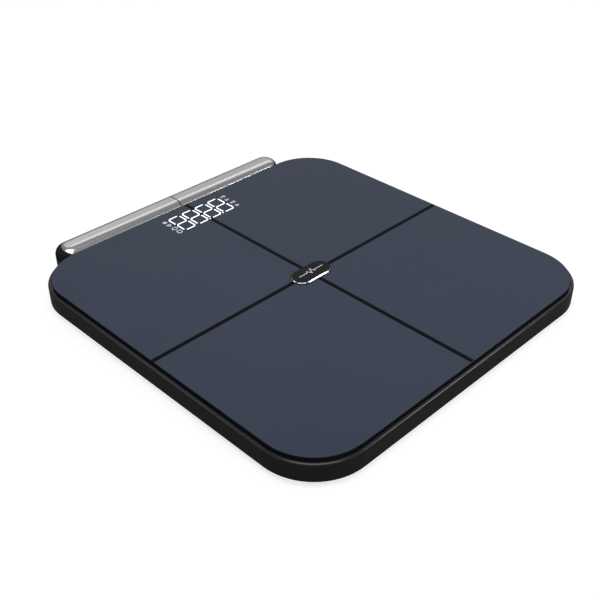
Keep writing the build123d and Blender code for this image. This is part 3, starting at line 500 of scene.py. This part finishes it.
def screw_steel():
    """Zinc-plated screws."""
    return polished(
        "screw_steel", color=(0.50, 0.50, 0.50), shade=(0.36, 0.36, 0.37), rough_low=0.22,
        rough_high=0.38,
    )


def contact_nickel():
    """Nickel-plated battery contacts."""
    return polished(
        "contact_nickel", color=(0.66, 0.64, 0.58), shade=(0.5, 0.48, 0.43), rough_low=0.14,
        rough_high=0.28,
    )


def lead_black():
    """Black insulation of the grip bar's lead and the load cells' leads."""
    return rubber(
        "lead_black", color=(0.012, 0.012, 0.012), dust=(0.02, 0.02, 0.02), grain=0.6 * MM,
        depth=0.02 * MM,
    )


def reel_plastic():
    """The reel, and the guide and clamp of its lead: dark grey plastic."""
    return moulded(
        "reel_plastic", color=(0.05, 0.05, 0.053), worn=(0.08, 0.08, 0.083), rough_low=0.35,
        rough_high=0.5, grain=0.5 * MM, depth=0.01 * MM,
    )


def lead_grommet_rubber():
    """The grommet where the lead leaves the housing."""
    return rubber(
        "lead_grommet_rubber", color=(0.014, 0.014, 0.014), dust=(0.03, 0.03, 0.03), grain=0.4 * MM,
        depth=0.03 * MM,
    )


def axle_steel():
    """The reel's axle and spring: steel."""
    return brushed(
        "axle_steel", color=(0.55, 0.55, 0.55), shade=(0.42, 0.42, 0.43), rough_low=0.2,
        rough_high=0.35, stretch=(1, 1, 0.05),
    )


# each function has the name of the record's slot that its material is for
MAKERS = (
    platform_glass, electrode_coating, divider_print, foam_tape,
    badge_chrome, badge_black, badge_silver,
    display_white, icon_white, lightbox_white, circuit_board, chip_black,
    housing_black, base_black, handle_black, grip_steel,
    foot_rubber, foot_plastic, cell_steel, sealant, screw_steel,
    battery_skin, contact_nickel,
    lead_black, reel_plastic, lead_grommet_rubber, axle_steel,
)
MATERIALS = {make.__name__: make() for make in MAKERS}


def dress(piece, slot):
    """Gives a piece the material of that slot of the record."""
    piece.data.materials.clear()
    piece.data.materials.append(MATERIALS[slot])


for node, piece in frame["nodes"].items():
    dress(piece, SLOT_OF[node])


# ================================================================ pieces made here
def new_piece(name, slot, mesh):
    """A finished mesh as a smooth shaded piece of the object."""
    for face in mesh.polygons:
        face.use_smooth = True
    piece = bpy.data.objects.new(name, mesh)
    bpy.context.scene.collection.objects.link(piece)
    dress(piece, slot)
    return piece


def add_tube(bm, points, radius, sides):
    """A round tube along points, closed at both ends with flat caps."""
    rings = []
    forward = (points[1] - points[0]).normalized()
    side = forward.orthogonal().normalized()
    for index, point in enumerate(points):
        ahead = points[min(index + 1, len(points) - 1)] - points[max(index - 1, 0)]
        turn = forward.rotation_difference(ahead.normalized())
        side = turn @ side
        forward = ahead.normalized()
        up = forward.cross(side)
        ring = []
        for step in range(sides):
            angle = 2 * math.pi * step / sides
            ring.append(bm.verts.new(point + radius * (math.cos(angle) * side + math.sin(angle) * up)))
        rings.append(ring)
    for near, far in zip(rings, rings[1:]):
        for step in range(sides):
            after = (step + 1) % sides
            bm.faces.new((near[step], near[after], far[after], far[step]))
    bm.faces.new(rings[0][::-1])
    bm.faces.new(rings[-1])


def finish_mesh(bm, name):
    """Turns a bmesh into a mesh with outward faces."""
    bmesh.ops.recalc_face_normals(bm, faces=bm.faces)
    mesh = bpy.data.meshes.new(name)
    bm.to_mesh(mesh)
    bm.free()
    return mesh


def make_lead_riser():
    """The free stretch of the handle's lead, which draws out of the housing as the bar is lifted."""
    low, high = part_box("lead_riser")
    middle = (low + high) / 2
    steps = 24
    rise = (high.z - low.z) / steps
    points = [Vector((middle.x, middle.y, low.z + rise * step)) for step in range(steps + 1)]
    bm = bmesh.new()
    add_tube(bm, points, radius=(high.x - low.x) / 2, sides=24)
    piece = new_piece("lead_riser_tube", "lead_black", finish_mesh(bm, "lead_riser_tube"))
    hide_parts("lead_riser")
    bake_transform(piece)


def floor_look():
    """Nearly white to the camera. Whatever the object mirrors, or takes light from, is a dark grey floor."""
    made = shader("floor_pale", (0.30, 0.30, 0.30), 0.7, Emission_Color=(1, 1, 1, 1), Emission_Strength=0.74)
    tint(made, fit(made, noise(made, 0.4, detail=3.0), 0.0, 0.3), (0.28, 0.28, 0.28))
    reflected = add_node(made, "ShaderNodeBsdfDiffuse", Color=(0.09, 0.09, 0.09, 1))
    ray = add_node(made, "ShaderNodeLightPath")
    choice = add_node(made, "ShaderNodeMixShader")
    link(made, ray.outputs["Is Camera Ray"], choice.inputs["Fac"])
    link(made, reflected.outputs["BSDF"], choice.inputs[1])
    link(made, surface_of(made).outputs["BSDF"], choice.inputs[2])
    link(made, choice.outputs["Shader"], made.node_tree.nodes["Material Output"].inputs["Surface"])
    return made


def make_floor():
    """A plain floor under the feet. It casts no shadow, so light from below reaches the object."""
    bm = bmesh.new()
    corners = []
    for x, y in ((-1, -1), (1, -1), (1, 1), (-1, 1)):
        corners.append(bm.verts.new((x * FLOOR_HALF, y * FLOOR_HALF, FLOOR_LEVEL)))
    bm.faces.new(corners)
    floor = bpy.data.objects.new("floor", finish_mesh(bm, "floor"))
    bpy.context.scene.collection.objects.link(floor)
    floor.data.materials.append(floor_look())
    floor.visible_shadow = False


# ================================================================ the scene
make_camera()
make_world(seen=1.0, sky=0.36, horizon=0.40)
make_lights()
make_floor()
make_lead_riser()

bpy.context.scene.view_settings.view_transform = "Standard"
